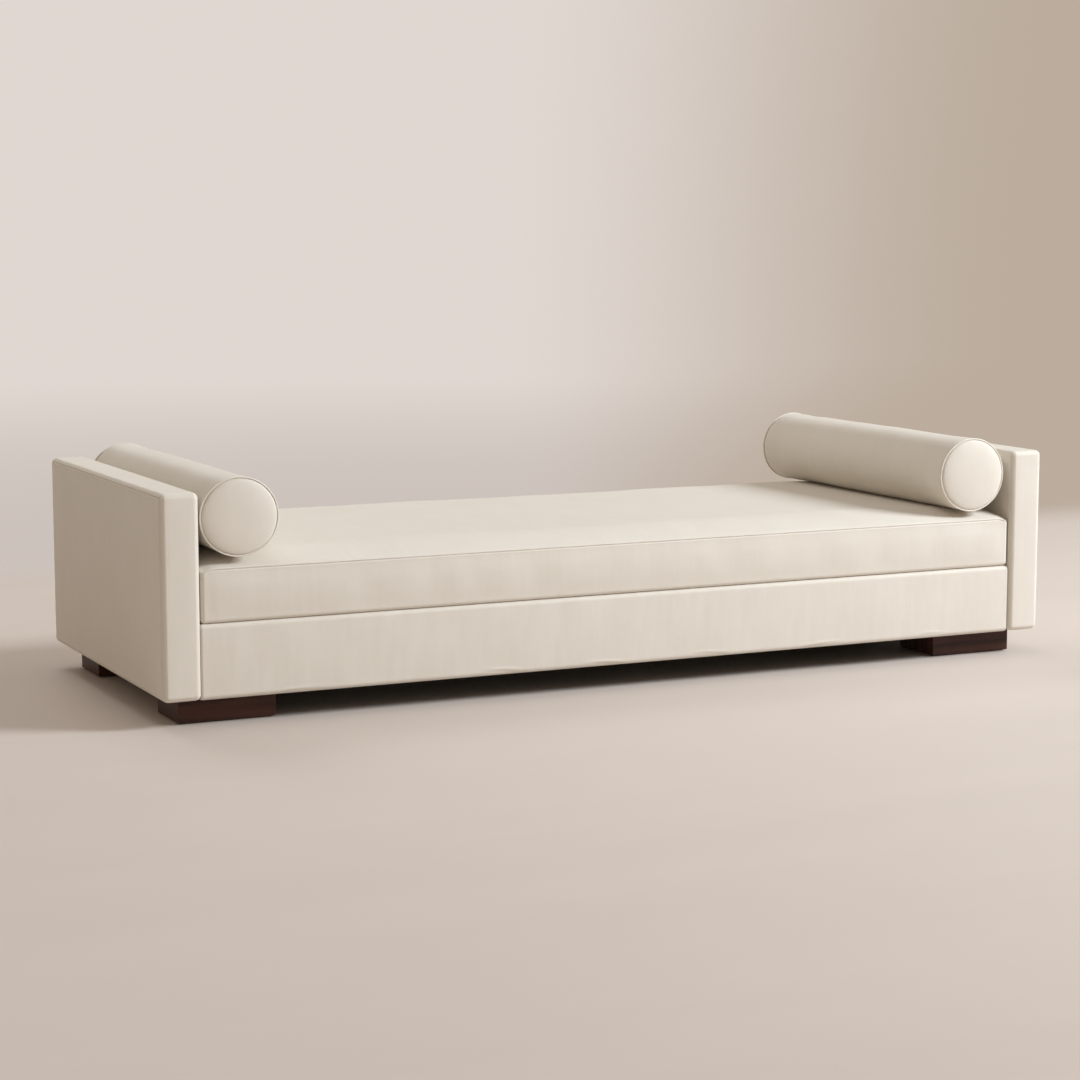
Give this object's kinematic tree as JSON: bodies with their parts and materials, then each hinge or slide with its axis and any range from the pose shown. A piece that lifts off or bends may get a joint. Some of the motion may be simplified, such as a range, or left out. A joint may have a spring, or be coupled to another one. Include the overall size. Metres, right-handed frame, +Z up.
{
  "type": "daybed",
  "caption": "Upholstered daybed with a low box base on block feet, slab arms, a boxed seat cushion and loose round bolsters with piped end caps.",
  "frame": {"origin": "on the floor, under the middle of the daybed", "axes": "+X along the length towards the right arm as seen from the front, -Y to the front, +Z up"},
  "size_m": [2.5, 0.965, 0.6035],
  "materials": {
    "upholstery": "matte",
    "wadding": "matte",
    "foam": "matte",
    "frame_pine": "matte",
    "plywood": "matte",
    "foot_wood": "satin",
    "felt": "matte",
    "dust_cloth": "matte",
    "zinc_steel": "satin",
    "zip_tape": "matte",
    "zip_metal": "satin"
  },
  "bodies": {
    "frame": {"base_front_rail": "frame_pine", "base_back_rail": "frame_pine", "base_left_end_rail": "frame_pine", "base_right_end_rail": "frame_pine", "cross_rails": "frame_pine", "centre_beam": "frame_pine", "slat_ledgers": "frame_pine", "deck_slats": "frame_pine", "corner_blocks": "frame_pine", "slat_screws": "zinc_steel", "foot_screws": "zinc_steel", "arm_bolts": "zinc_steel", "arm_washers": "zinc_steel", "arm_tee_nuts": "zinc_steel", "base_front_padding": "wadding", "base_back_padding": "wadding", "base_front_cover": "upholstery", "base_back_cover": "upholstery", "deck_cloth": "upholstery", "dust_cover": "dust_cloth", "foot_front_left": "foot_wood", "foot_front_right": "foot_wood", "foot_back_left": "foot_wood", "foot_back_right": "foot_wood", "foot_felt_pads": "felt", "arm_left_front_post": "frame_pine", "arm_left_back_post": "frame_pine", "arm_left_top_rail": "frame_pine", "arm_left_bottom_rail": "frame_pine", "arm_left_middle_stile": "frame_pine", "arm_left_inner_panel": "plywood", "arm_left_outer_panel": "plywood", "arm_left_padding": "wadding", "arm_left_cover": "upholstery", "arm_right_front_post": "frame_pine", "arm_right_back_post": "frame_pine", "arm_right_top_rail": "frame_pine", "arm_right_bottom_rail": "frame_pine", "arm_right_middle_stile": "frame_pine", "arm_right_inner_panel": "plywood", "arm_right_outer_panel": "plywood", "arm_right_padding": "wadding", "arm_right_cover": "upholstery"},
    "seat_cushion": {"seat_core": "foam", "seat_wadding": "wadding", "seat_cover": "upholstery", "seat_zip": "zip_tape"},
    "seat_slider": {"seat_zip_slider": "zip_metal"},
    "bolster_left": {"bolster_left_core": "foam", "bolster_left_wadding": "wadding", "bolster_left_cover": "upholstery", "bolster_left_piping": "upholstery", "bolster_left_zip": "zip_tape"},
    "left_slider": {"bolster_left_zip_slider": "zip_metal"},
    "bolster_right": {"bolster_right_core": "foam", "bolster_right_wadding": "wadding", "bolster_right_cover": "upholstery", "bolster_right_piping": "upholstery", "bolster_right_zip": "zip_tape"},
    "right_slider": {"bolster_right_zip_slider": "zip_metal"}
  },
  "joints": [
    {"name": "seat_cushion_lift", "type": "slide", "parent": "frame", "child": "seat_cushion", "axis": [0, 0, 1], "range_m": [0, 0.33]},
    {"name": "bolster_left_lift", "type": "slide", "parent": "seat_cushion", "child": "bolster_left", "axis": [0, 0, 1], "range_m": [0, 0.2]},
    {"name": "bolster_right_lift", "type": "slide", "parent": "seat_cushion", "child": "bolster_right", "axis": [0, 0, 1], "range_m": [0, 0.2]},
    {"name": "seat_zip_slide", "type": "slide", "parent": "seat_cushion", "child": "seat_slider", "axis": [-1, 0, 0], "range_m": [0, 1.94]},
    {"name": "bolster_left_zip_slide", "type": "slide", "parent": "bolster_left", "child": "left_slider", "axis": [0, -1, 0], "range_m": [0, 0.72]},
    {"name": "bolster_right_zip_slide", "type": "slide", "parent": "bolster_right", "child": "right_slider", "axis": [0, -1, 0], "range_m": [0, 0.72]}
  ]
}
